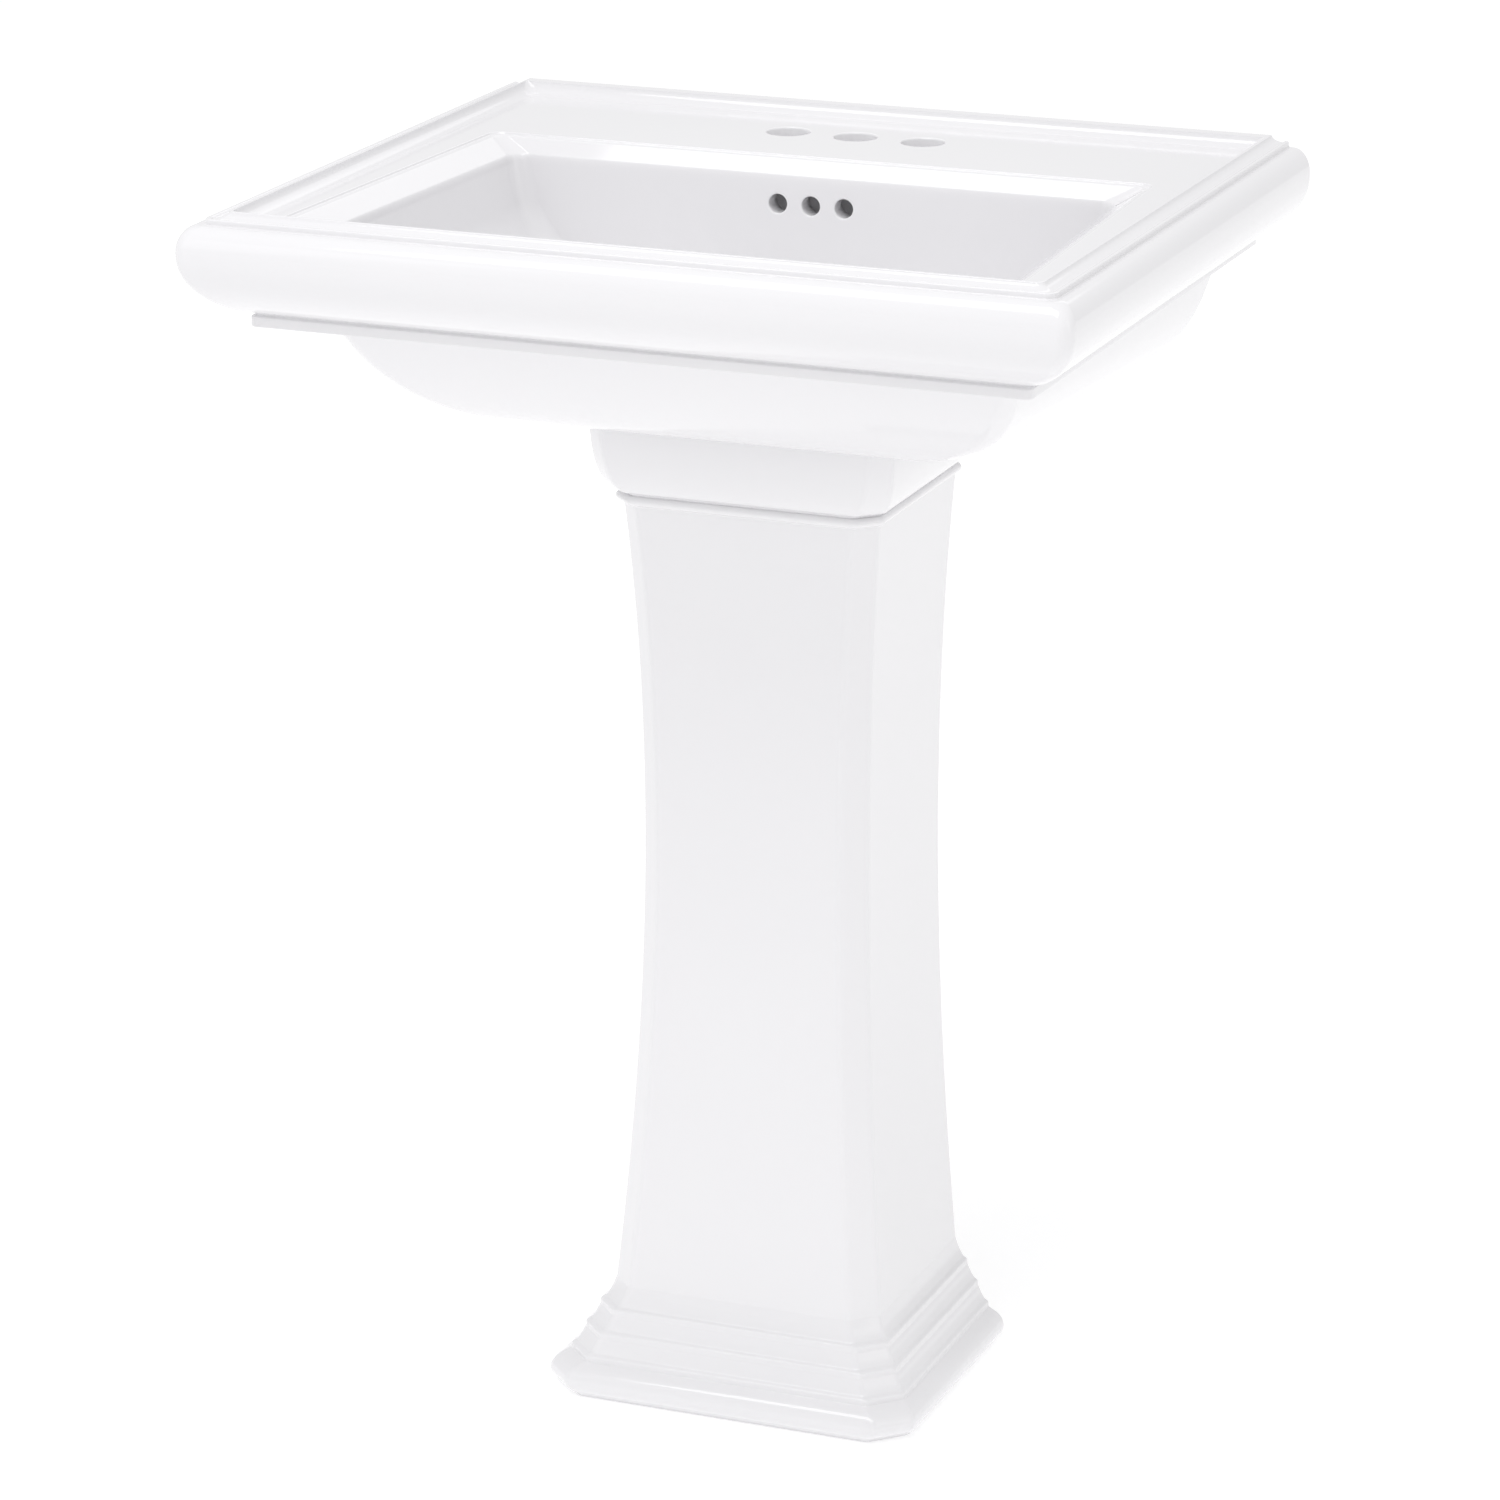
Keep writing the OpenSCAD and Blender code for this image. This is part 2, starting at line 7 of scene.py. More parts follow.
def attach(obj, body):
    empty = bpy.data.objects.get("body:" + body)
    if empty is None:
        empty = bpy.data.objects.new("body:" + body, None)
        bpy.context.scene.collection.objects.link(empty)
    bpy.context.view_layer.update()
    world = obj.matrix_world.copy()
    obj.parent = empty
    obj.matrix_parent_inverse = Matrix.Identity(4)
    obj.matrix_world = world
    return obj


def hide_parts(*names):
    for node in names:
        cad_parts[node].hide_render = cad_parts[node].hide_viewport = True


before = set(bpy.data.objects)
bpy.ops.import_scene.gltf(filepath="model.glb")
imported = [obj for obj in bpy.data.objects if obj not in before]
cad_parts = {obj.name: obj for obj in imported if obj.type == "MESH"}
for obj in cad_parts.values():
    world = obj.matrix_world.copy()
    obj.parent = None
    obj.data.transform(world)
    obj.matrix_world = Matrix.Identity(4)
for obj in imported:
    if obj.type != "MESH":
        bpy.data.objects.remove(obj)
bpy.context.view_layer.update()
mm = 0.001
print("frame loaded")


# camera, light and floor

viewSetup = {"place": (1.4205, -3.6493, 1.7043), "azimuth": 21.72, "elevation": 17.32,
             "lens": 139.96, "shift": (0.0126, -0.0117)}
lightSetup = {"world": 0.8, "worldColor": (0.995, 0.995, 1.0), "floorHalf": 14,
              "softboxes": [  # name, place, target, width and height, power, colour
                  ("topSoftbox", (-0.2, -1.3, 3.3), (0, 0.1, 0.85), (2.2, 1.6), 32, (1, 1, 1)),
                  ("keySoftbox", (-2.2, -2.6, 2.2), (0, 0, 0.6), (1.6, 1.6), 3, (1, 1, 1)),
                  ("sideSoftbox", (3.2, -0.6, 1.5), (0, 0, 0.5), (1.2, 2.2), 4, (1, 0.98, 0.94)),
                  ("stripSoftbox", (-0.6, 2.6, 2.4), (0, 0, 0.8), (2.6, 0.5), 2, (1, 1, 1))]}


def addCamera(s):
    cam = bpy.data.objects.new("studioCamera", bpy.data.cameras.new("studioCamera"))
    bpy.context.collection.objects.link(cam)
    cam.location = s["place"]
    cam.rotation_euler = (math.radians(90 - s["elevation"]), 0, math.radians(s["azimuth"]))
    cam.data.lens = s["lens"]
    cam.data.sensor_width = 36
    cam.data.shift_x, cam.data.shift_y = s["shift"]
    cam.data.clip_end = 60
    bpy.context.scene.camera = cam


def addSoftbox(name, place, target, size, power, color):
    data = bpy.data.lights.new(name, "AREA")
    data.shape, data.size, data.size_y = "RECTANGLE", size[0], size[1]
    data.energy, data.color = power, color
    light = bpy.data.objects.new(name, data)
    bpy.context.collection.objects.link(light)
    light.location = place
    light.rotation_euler = (Vector(place) - Vector(target)).to_track_quat("Z", "Y").to_euler()


def addStudio(s, paper):
    world = bpy.data.worlds.new("studioWorld")
    world.use_nodes = True
    back = world.node_tree.nodes["Background"]
    back.inputs["Color"].default_value = (*s["worldColor"], 1)
    back.inputs["Strength"].default_value = s["world"]
    bpy.context.scene.world = world
    for softbox in s["softboxes"]:
        addSoftbox(*softbox)
    bpy.context.scene.view_settings.view_transform = "Standard"
    bm = bmesh.new()
    bmesh.ops.create_grid(bm, x_segments=1, y_segments=1, size=s["floorHalf"])
    floor = finishMesh(bm, "studioFloor", 30)
    floor.data.materials.append(paper)


# mesh helpers

def finishMesh(bm, name, angle, even=False):
    bmesh.ops.remove_doubles(bm, verts=bm.verts, dist=1e-6)
    bmesh.ops.recalc_face_normals(bm, faces=bm.faces)
    openEdges = sum(1 for e in bm.edges if not e.is_manifold)
    mesh = bpy.data.meshes.new(name)
    bm.to_mesh(mesh)
    bm.free()
    for p in mesh.polygons:
        p.use_smooth = True
    mesh.set_sharp_from_angle(angle=math.radians(angle))
    piece = bpy.data.objects.new(name, mesh)
    bpy.context.collection.objects.link(piece)
    if even:
        shading = piece.modifiers.new("evenShading", "WEIGHTED_NORMAL")  # keeps the flats flat
        shading.keep_sharp = True
    print(name, len(mesh.polygons), "faces", openEdges, "open edges")
    return piece


def softPath(points, steps=3):
    # the last number of a point is how far its corner is softened
    path = []
    for i, p in enumerate(points):
        corner = Vector(p[:-1])
        if not p[-1] or i in (0, len(points) - 1):
            path.append(corner)
            continue
        a = corner + (Vector(points[i - 1][:-1]) - corner).normalized() * p[-1]
        b = corner + (Vector(points[i + 1][:-1]) - corner).normalized() * p[-1]
        path += [a * (1 - t) ** 2 + corner * 2 * t * (1 - t) + b * t * t
                 for t in (k / steps for k in range(steps + 1))]
    return path


def arcPoints(c, r, a0, a1, n):
    angles = [math.radians(a0 + (a1 - a0) * i / n) for i in range(n + 1)]
    return [(c[0] + r[0] * math.cos(a), c[1] + r[1] * math.sin(a), 0) for a in angles]


def wireEdges(bm, old):
    return [e for e in bm.edges if not e.link_faces and e not in old]


def cornerLoop(bm, corners, radii, z, steps):
    # a closed outline with rounded corners, flat at one height
    old = {e for e in bm.edges if not e.link_faces}
    verts = [bm.verts.new((x * mm, y * mm, z * mm)) for x, y in corners]
    for a, b in zip(verts, verts[1:] + verts[:1]):
        bm.edges.new((a, b))
    for v, r in zip(verts, radii):
        bmesh.ops.bevel(bm, geom=[v], offset=r * mm, offset_type="OFFSET", segments=steps,
                        profile=0.5, affect="VERTICES", material=-1)
    return wireEdges(bm, old)


def roundLoop(bm, place, radius, count):
    made = bmesh.ops.create_circle(bm, cap_ends=False, radius=radius * mm, segments=count,
                                   matrix=place)
    return list({e for v in made["verts"] for e in v.link_edges})


def joinLoops(bm, loops, along=(0, 0, 1)):
    # each next loop is held off along the axis while it is joined, so level loops don't twist
    for a, b in zip(loops, loops[1:]):
        held, lift = list({v for e in b for v in e.verts}), Vector(along) * -0.05
        bmesh.ops.translate(bm, vec=lift, verts=held)
        bmesh.ops.bridge_loops(bm, edges=a + b)
        bmesh.ops.translate(bm, vec=-lift, verts=held)


def fillFlat(bm, edges, normal):
    bmesh.ops.triangle_fill(bm, use_beauty=True, use_dissolve=False, edges=edges, normal=normal)


def at(x, y, z, turn=Matrix()):
    return Matrix.Translation((x * mm, y * mm, z * mm)) @ turn


# the basin: one china casting, drawn from the ridge outwards and then inwards, in millimetres

basinSize = {"ridgeHalf": 281.5, "ridgeFront": 267.5, "ridgeBack": 218, "top": 888, "wall": 228,
             "deck": 879.5, "bodyBack": 125, "bottom": 723, "soffit": 809,
             "sideInset": (8, 32, 130), "frontInset": (62, 109.5, 157), "taper": 4.9, "bodySteps": 16,
             "beyond": 245, "openBack": 78, "openFront": -254, "openHalf": 246, "openHalfFront": 260.5,
             "lipSide": 22, "lipBack": 12, "lipFront": 50, "lipDepth": 12.5,
             "floor": 748, "floorHalf": 60, "frontCurve": 110, "backCurve": 12, "backFoot": 14,
             "wallLevels": (45.5, 56, 66, 76, 85, 93, 100, 106, 111, 115, 118, 120),
             "deckThick": 13, "pocketHalf": 265.5, "pocketY": (127, 212),
             "apronHalf": 190, "apronZ": (770, 815), "apronThick": 15.8,
             "boltX": 102, "boltZ": 800, "boltHoleR": 7,
             "drainY": -12, "faucetY": 154, "faucetPitch": 50.8, "faucetR": 15.5,
             "overflowZ": 847, "overflowPitch": 24.5, "overflowR": 6.75, "cornerSteps": 8}


def bend(points, t):
    return (1 - t) ** 2 * points[0] + 2 * t * (1 - t) * points[1] + t * t * points[2]


def rimProfile():
    # outwards from the ridge: (distance, height from the top, softness)
    nose = arcPoints((18, -25.5), (12.5, 18), 90, 0, 12)
    curve = (Vector((30.5, -25.5)), Vector((30.5, -53.5)), Vector((-1, -67.5)))
    under = [bend(curve, i / 12) for i in range(1, 12)]
    points = [(0, 0, 0), (2, 0, 0.8)]
    points += [(x, z, 0) for x, z, _ in arcPoints((11, 0), (9, 4.5), 186, 268, 6)]
    points += [(11.6, -3.5, 0.8), (14.5, -3.5, 1.1), (14.5, -7.5, 1.2)]
    points += nose + [(p.x, p.y, 0) for p in under]
    points += [(-1, -67.5, 1.2), (-9, -68.6, 1), (-9.6, -71, 0.7),
               (-7.5, -72, 0.9), (-7.5, -79, 0.9), (-12, -79, 0)]
    return softPath(points)


def basinOutside(bm, s):
    steps = s["cornerSteps"]

    def ring(d, z, front, back):
        half, y = s["ridgeHalf"] + d, -s["ridgeFront"] - d
        return cornerLoop(bm, [(-half, y), (half, y), (half, back), (-half, back)],
                          [front, front, 1.5, 1.5], z, steps)

    loops = []
    for i, p in enumerate(rimProfile()):
        back = s["ridgeBack"] if i == 0 else s["beyond"]
        loops.append(ring(p.x, s["top"] + p.y, 5 + max(p.x, 0) * 0.18, back))
    # under the rim: a soffit, and the body that curves in from it and closes towards the front
    taper = math.tan(math.radians(s["taper"]))
    for i in range(s["bodySteps"] + 1):
        t = (i / s["bodySteps"]) ** 0.8  # closer together towards the flat bottom
        z = (1 - t) ** 2 * (s["soffit"] - s["bottom"]) + s["bottom"]
        side, front = (bend(s[key], t) for key in ("sideInset", "frontInset"))
        half, y = s["ridgeHalf"] - side, -s["ridgeFront"] + front
        narrow = half - (s["bodyBack"] - y) * taper
        corners = [(-narrow, y), (narrow, y), (half, s["bodyBack"]), (-half, s["bodyBack"])]
        loops.append(cornerLoop(bm, corners, [9 + 10 * t, 9 + 10 * t, 2, 2], z, steps))
    joinLoops(bm, loops)


def cutAtWall(bm, s):
    wall = (0, s["wall"] * mm, 0)
    cut = bmesh.ops.bisect_plane(bm, geom=bm.verts[:] + bm.edges[:] + bm.faces[:], dist=1e-7,
                                 plane_co=wall, plane_no=(0, 1, 0), clear_outer=True)
    edges = [e for e in cut["geom_cut"] if isinstance(e, bmesh.types.BMEdge)]
    bmesh.ops.contextual_create(bm, geom=edges)


def basinBowl(bm, ridge, s):
    # inwards from the ridge: cove, deck, step, slanting lip, walls and floor
    steps = s["cornerSteps"]

    def ring(half, halfFront, front, back, radius, z):
        return cornerLoop(bm, [(-halfFront, front), (halfFront, front), (half, back), (-half, back)],
                          [radius] * 4, z, steps)

    loops = [ridge]
    for x, z, _ in arcPoints((11, 0), (11, 8.5), 180, 270, 8)[1:]:
        half = s["ridgeHalf"] - x
        loops.append(ring(half, half, -s["ridgeFront"] + x, s["ridgeBack"] - x,
                          5 + x * 0.6, s["top"] + z))
    half = s["ridgeHalf"] - 14
    loops.append(ring(half, half, -s["ridgeFront"] + 11.7, s["ridgeBack"] - 14, 12, s["deck"]))
    deckOuter = loops[-1]
    joinLoops(bm, loops)
    # side, back and front inset, depth below the deck, corner radius, softness
    lip = softPath([(-3, -1.1, -1, 0, 9, 0), (0, 0, 0, 0, 9, 0.9), (0.8, 0.8, 0.8, 1.6, 9, 0.9),
                    (4.5, 3.5, 4.5, 2.1, 9.5, 1.5),
                    (s["lipSide"], s["lipBack"], s["lipFront"], s["lipDepth"], 13, 4.5),
                    (s["lipSide"] + 0.6, s["lipBack"] + 0.3, s["lipFront"] + 0.4, s["lipDepth"] + 7,
                     13.5, 0)], 5)
    loops = []
    for p in lip:
        loops.append(ring(s["openHalf"] - p[0], s["openHalfFront"] - p[0], s["openFront"] + p[2],
                          s["openBack"] - p[1], p[4], s["deck"] - p[3]))
    deckInner = loops[0]
    wallHeight = s["deck"] - s["lipDepth"] - s["floor"]
    sideCurve = s["openHalf"] - s["lipSide"] - s["floorHalf"]
    for below in s["wallLevels"]:
        t = (below - s["lipDepth"]) / wallHeight
        k = math.sqrt(max(0, 1 - t * t))
        side = s["lipSide"] + sideCurve * (1 - k)
        back = s["lipBack"] + s["backCurve"] * (1 - k) + s["backFoot"] * max(0, 4 * t - 3) ** 2
        front = s["lipFront"] + s["frontCurve"] * (1 - k)
        loops.append(ring(s["openHalf"] - side, s["openHalfFront"] - side - 8 * t, s["openFront"] + front,
                          s["openBack"] - back, 13.5 + 30 * t ** 3, s["deck"] - below))
    # the drain's seat and hole: radius, depth below the deck, softness
    drain = [(36, 131.3, 0), (32.3, 131.6, 0.9), (32, 134.5, 0.6), (22.5, 134.5, 1),
             (22.5, s["deck"] - s["bottom"], 0)]
    count = 4 * (steps + 1)
    halfStep = Matrix.Rotation(math.pi / count, 4, "Z")
    for p in softPath(drain):
        loops.append(roundLoop(bm, at(0, s["drainY"], s["deck"] - p.y, halfStep), p.x, count))
    joinLoops(bm, loops)
    return deckOuter, deckInner, loops[-1]


def softHole(bm, place, points, count=48):
    # a round hole along the place's -Z: (radius, depth, softness)
    loops = [roundLoop(bm, place @ Matrix.Translation((0, 0, -p.y * mm)), p.x, count)
             for p in softPath(points, 4)]
    joinLoops(bm, loops, place.to_3x3() @ Vector((0, 0, 1)))
    return loops


def overflowHoles(bm, s):
    # the flat of the back wall between two levels is opened and filled again round the holes
    z = s["overflowZ"] * mm
    wall = max((f for f in bm.faces if abs(f.calc_center_median().x) < 1e-4
                and min(v.co.z for v in f.verts) < z < max(v.co.z for v in f.verts)
                and 0 < f.calc_center_median().y < 0.1), key=lambda f: f.calc_area())
    normal, centre = wall.normal.copy(), wall.calc_center_median()
    edges = wall.edges[:]
    bmesh.ops.delete(bm, geom=[wall], context="FACES_ONLY")
    facing = normal if normal.y < 0 else -normal
    turn = facing.to_track_quat("Z", "X").to_matrix().to_4x4()
    rim = []
    for i in (-1, 0, 1):
        y = centre.y - (z - centre.z) * facing.z / facing.y
        place = Matrix.Translation((i * s["overflowPitch"] * mm, y, z)) @ turn
        loops = softHole(bm, place, [(9, 0, 0), (s["overflowR"], 0, 1.2), (s["overflowR"], 13, 0.8),
                                     (10, 13, 0), (10, 24, 0)], 32)
        rim += loops[0]
        bmesh.ops.contextual_create(bm, geom=loops[-1])
    fillFlat(bm, edges + rim, facing)


def deckAndPocket(bm, deckOuter, deckInner, s):
    # the flat deck round the opening and the faucet holes, and the hollow under it for the faucet
    rims, tubes = [], []
    for i in (-1, 0, 1):
        loops = softHole(bm, at(i * s["faucetPitch"], s["faucetY"], s["deck"]),
                         [(19, 0, 0), (s["faucetR"], 0, 1.6), (s["faucetR"], s["deckThick"], 0)])
        rims += loops[0]
        tubes += loops[-1]
    fillFlat(bm, deckOuter + deckInner + rims, (0, 0, 1))
    under = s["soffit"]
    face = max((f for f in bm.faces if abs(f.normal.z) > 0.99
                and abs(f.calc_center_median().z - under * mm) < 1e-5
                and f.calc_center_median().y > s["bodyBack"] * mm), key=lambda f: f.calc_area())
    edges = face.edges[:]
    bmesh.ops.delete(bm, geom=[face], context="FACES_ONLY")
    half, (near, back) = s["pocketHalf"], s["pocketY"]
    ceiling, middle = s["deck"] - s["deckThick"], (near + back) / 2
    box = [(-half, near), (half, near), (half, back), (-half, back)]
    loops = []
    for p in softPath([(0, under, 0), (1.5, under, 1.5), (1.5, ceiling, 3), (8, ceiling, 0)]):
        grow = 1.5 - p.x
        corners = [(x + math.copysign(grow, x), y + math.copysign(grow, y - middle)) for x, y in box]
        loops.append(cornerLoop(bm, corners, [8] * 4, p.y, 4))
    joinLoops(bm, loops)
    fillFlat(bm, edges + loops[0], (0, 0, -1))
    fillFlat(bm, loops[-1] + tubes, (0, 0, -1))


def backApron(bm, s):
    # the strip that hangs behind the bowl and takes the two wall bolts
    old = set(bm.faces)
    half, (low, high) = s["apronHalf"], s["apronZ"]
    corners = [(-half, low), (half, low), (half, high), (-half, high)]
    turn = Matrix.Rotation(math.pi / 2, 4, "X")
    face = s["wall"] - 0.2  # a hair in front of the basin's own back
    edges = cornerLoop(bm, corners, [12, 12, 2, 2], 0, 5)
    verts = list({v for e in edges for v in e.verts})
    bmesh.ops.transform(bm, matrix=at(0, face, 0, turn), verts=verts)
    holes = []
    for i in (-1, 1):
        holes += roundLoop(bm, at(i * s["boltX"], face, s["boltZ"], turn), s["boltHoleR"], 32)
    fillFlat(bm, edges + holes, (0, 1, 0))
    plate = [f for f in bm.faces if f not in old]
    front = bmesh.ops.extrude_face_region(bm, geom=plate, use_keep_orig=True)
    moved = [g for g in front["geom"] if isinstance(g, bmesh.types.BMVert)]
    bmesh.ops.translate(bm, vec=(0, -s["apronThick"] * mm, 0), verts=moved)
    sharp = [e for e in bm.edges if e.is_manifold and not (set(e.link_faces) & old)
             and abs(e.calc_face_angle()) > 1.2]
    bmesh.ops.bevel(bm, geom=sharp, offset=1.4 * mm, offset_type="OFFSET", segments=3, profile=0.5,
                    affect="EDGES", material=-1, clamp_overlap=True)


def makeBasin(s):
    bm = bmesh.new()
    basinOutside(bm, s)
    cutAtWall(bm, s)
    ridge, bottom = ([e for e in bm.edges if len(e.link_faces) == 1
                      and all(abs(v.co.z - s[level] * mm) < 1e-7 for v in e.verts)]
                     for level in ("top", "bottom"))
    deckOuter, deckInner, drain = basinBowl(bm, ridge, s)
    overflowHoles(bm, s)
    deckAndPocket(bm, deckOuter, deckInner, s)
    fillFlat(bm, bottom + drain, (0, 0, -1))
    backApron(bm, s)
    basin = finishMesh(bm, "chinaBasin", 34, even=True)
    basin.data.materials.append(materials["china"])
    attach(basin, "sink")
    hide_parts("rim", "bowl", "faucet_deck")


# the pedestal: one hollow china casting, open at the back, joined level by level

pedestalSize = {"frontOffset": 32, "back": 108, "wall": 11, "footZ": 76, "waistZ": 410, "creaseZ": 655,
                "topZ": 721, "footHalf": 101.5, "waistHalf": 84.5, "creaseHalf": 94.5, "capitalHalf": 112,
                "plinthHalf": 140, "plinthR": (14, 12), "plinthZ": 25, "ribCount": 3, "ribLip": 4,
                "chamfers": [(0, 23), (76, 17), (655, 15), (721, 13)], "cornerR": 2.6, "columnSteps": 16,
                "slabR": 2.5, "footPlate": ((-130, -25, 0.2), (130, 85, 14)), "boltHole": (0, 60, 6),
                "backRail": ((-102, 97, 695), (102, 107.8, 720.8))}


def pedestalSide(s):
    # half-width against height: plinth, ribs, column, bead and capital
    cx, top = s["plinthHalf"] - s["plinthR"][0], s["topZ"]
    points = [(s["plinthHalf"] - 7, 0, 0)]
    points += arcPoints((cx, s["plinthR"][1]), s["plinthR"], -55, 65, 9)
    ribW = (s["plinthHalf"] - 12 - (s["waistHalf"] + 18)) / s["ribCount"]
    ribH = (s["footZ"] - s["plinthZ"] - s["ribLip"]) / s["ribCount"]
    for i in range(s["ribCount"]):
        x, z = cx + 2 - i * ribW, s["plinthZ"] + i * ribH
        points += [(x, z, 0.9), (x, z + s["ribLip"], 1.3)]
        points += [(x - 0.36 * ribW, z + s["ribLip"] + 1.6, 1), (x - 0.66 * ribW, z + 0.62 * ribH, 1.5),
                   (x - 0.86 * ribW, z + 0.86 * ribH, 1)]
    n = s["columnSteps"]
    for i in range(n):
        z = s["footZ"] + (s["waistZ"] - s["footZ"]) * i / n
        share = ((s["waistZ"] - z) / (s["waistZ"] - s["footZ"])) ** 1.85
        points.append((s["waistHalf"] + (s["footHalf"] - s["waistHalf"]) * share, z, 0.8 if i == 0 else 0))
    for i in range(n):
        z = s["waistZ"] + (s["creaseZ"] - s["waistZ"]) * i / (n - 1)
        share = ((z - s["waistZ"]) / (s["creaseZ"] - s["waistZ"])) ** 2.2
        points.append((s["waistHalf"] + (s["creaseHalf"] - s["waistHalf"]) * share, z,
                       0.7 if i == n - 1 else 0))
    points += arcPoints((s["creaseHalf"] + 1, s["creaseZ"] + 4.5), (3.5, 3.5), -80, 80, 8)
    cap = s["capitalHalf"] - s["creaseHalf"] - 3
    bell = arcPoints((s["creaseHalf"] + 3, top - 9), (cap, top - s["creaseZ"] - 19), -90, 0, 14)
    points += [(x, z, 0.6 if i == 0 else 0) for i, (x, z, _) in enumerate(bell)]
    return points + [(s["capitalHalf"], top, 1.2)]


def chamferAt(z, s):
    table = s["chamfers"]
    for (z0, c0), (z1, c1) in zip(table, table[1:]):
        if z <= z1:
            return c0 + (c1 - c0) * (z - z0) / (z1 - z0)
    return table[-1][1]


def pedestalRing(bm, half, z, s, edge):
    # a U-shaped outline: three outer sides with chamfers, and the same inside, open at the back
    c, off, back, t = chamferAt(z, s), s["frontOffset"], s["back"], s["wall"]
    front, inner = -(half - off), half - t
    ci = c - 0.586 * t  # keeps the wall's thickness across the chamfer
    corners = [(-half, back), (-half, front + c), (-half + c, front),
               (half - c, front), (half, front + c), (half, back),
               (inner, back), (inner, front + t + ci), (inner - ci, front + t), (-inner + ci, front + t),
               (-inner, front + t + ci), (-inner, back)]
    r = s["cornerR"]
    radii = [edge, r, r, r, r, edge, edge, r, r, r, r, edge]
    return cornerLoop(bm, corners, radii, z, 3)


def makePedestal(s):
    bm = bmesh.new()
    side = softPath(pedestalSide(s) + [(s["capitalHalf"] - 1.6, s["topZ"], 0)])
    loops = [pedestalRing(bm, p.x, max(0, p.y), s, 1.4) for p in side]
    joinLoops(bm, loops)
    fillFlat(bm, loops[0], (0, 0, -1))
    fillFlat(bm, loops[-1], (0, 0, 1))
    softSlab(bm, *s["footPlate"], s["slabR"], s["boltHole"])
    softSlab(bm, *s["backRail"], s["slabR"])
    column = finishMesh(bm, "chinaPedestal", 40, even=True)
    column.data.materials.append(materials["china"])
    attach(column, "sink")
    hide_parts("pedestal")


def softSlab(bm, low, high, radius, hole=None):
    # a plate with eased edges, and a round hole through it where one is given
    mid = [(a + b) / 2 for a, b in zip(low, high)]
    half = [(b - a) / 2 for a, b in zip(low, high)]
    loops = []
    for p in softPath([(4, 0, 0), (0, 0, 2), (0, high[2] - low[2], 2), (4, high[2] - low[2], 0)]):
        x, y = half[0] - p.x, half[1] - p.x
        corners = [(mid[0] - x, mid[1] - y), (mid[0] + x, mid[1] - y),
                   (mid[0] + x, mid[1] + y), (mid[0] - x, mid[1] + y)]
        loops.append(cornerLoop(bm, corners, [radius] * 4, low[2] + p.y, 4))
    joinLoops(bm, loops)
    if not hole:
        fillFlat(bm, loops[0], (0, 0, -1))
        fillFlat(bm, loops[-1], (0, 0, 1))
        return
    depth = high[2] - low[2]
    tube = softHole(bm, at(hole[0], hole[1], high[2]), [(hole[2] + 2, 0, 0), (hole[2], 0, 0.8),
                                                       (hole[2], depth, 0.8), (hole[2] + 2, depth, 0)], 32)
    fillFlat(bm, loops[-1] + tube[0], (0, 0, 1))
    fillFlat(bm, loops[0] + tube[-1], (0, 0, -1))


# finishes

def nodeMaterial(name):
    material = bpy.data.materials.new(name)
    material.use_nodes = True
    nodes = material.node_tree.nodes
    return material, nodes, material.node_tree.links, nodes["Principled BSDF"]


def rangeNode(nodes, links, source, low, high, a, b):
    spread = nodes.new("ShaderNodeMapRange")
    for key, value in (("From Min", low), ("From Max", high), ("To Min", a), ("To Max", b)):
        spread.inputs[key].default_value = value
    links.new(source, spread.inputs["Value"])
    return spread.outputs["Result"]


def tintNode(nodes, links, factor, a, b):
    mix = nodes.new("ShaderNodeMix")
    mix.data_type = "RGBA"
    mix.inputs["A"].default_value = (*a, 1)
    mix.inputs["B"].default_value = (*b, 1)
    links.new(factor, mix.inputs["Factor"])
    return mix.outputs["Result"]


def makeCloudGroup():
    # soft clouds and fine specks over a surface, both from 0 to 1, and their height
    group = bpy.data.node_groups.new("surfaceCloud", "ShaderNodeTree")
    for name, value in (("Cloud Scale", 6), ("Speck Scale", 90), ("Speck Share", 0.4)):
        socket = group.interface.new_socket(name, in_out="INPUT", socket_type="NodeSocketFloat")
        socket.default_value = value
    for name in ("Cloud", "Speck", "Height"):
        group.interface.new_socket(name, in_out="OUTPUT", socket_type="NodeSocketFloat")
    nodes, links = group.nodes, group.links
    entry, out = nodes.new("NodeGroupInput"), nodes.new("NodeGroupOutput")
    coords = nodes.new("ShaderNodeTexCoord")
    cloud, speck = nodes.new("ShaderNodeTexNoise"), nodes.new("ShaderNodeTexNoise")
    cloud.inputs["Detail"].default_value = 3
    speck.inputs["Detail"].default_value = 2
    for node, key in ((cloud, "Cloud Scale"), (speck, "Speck Scale")):
        links.new(coords.outputs["Object"], node.inputs["Vector"])
        links.new(entry.outputs[key], node.inputs["Scale"])
    clouds = rangeNode(nodes, links, cloud.outputs["Fac"], 0.32, 0.68, 0, 1)
    specks = rangeNode(nodes, links, speck.outputs["Fac"], 0.3, 0.7, 0, 1)
    blend = nodes.new("ShaderNodeMix")
    links.new(entry.outputs["Speck Share"], blend.inputs["Factor"])
    links.new(clouds, blend.inputs["A"])
    links.new(specks, blend.inputs["B"])
    links.new(clouds, out.inputs["Cloud"])
    links.new(specks, out.inputs["Speck"])
    links.new(blend.outputs["Result"], out.inputs["Height"])
    return group


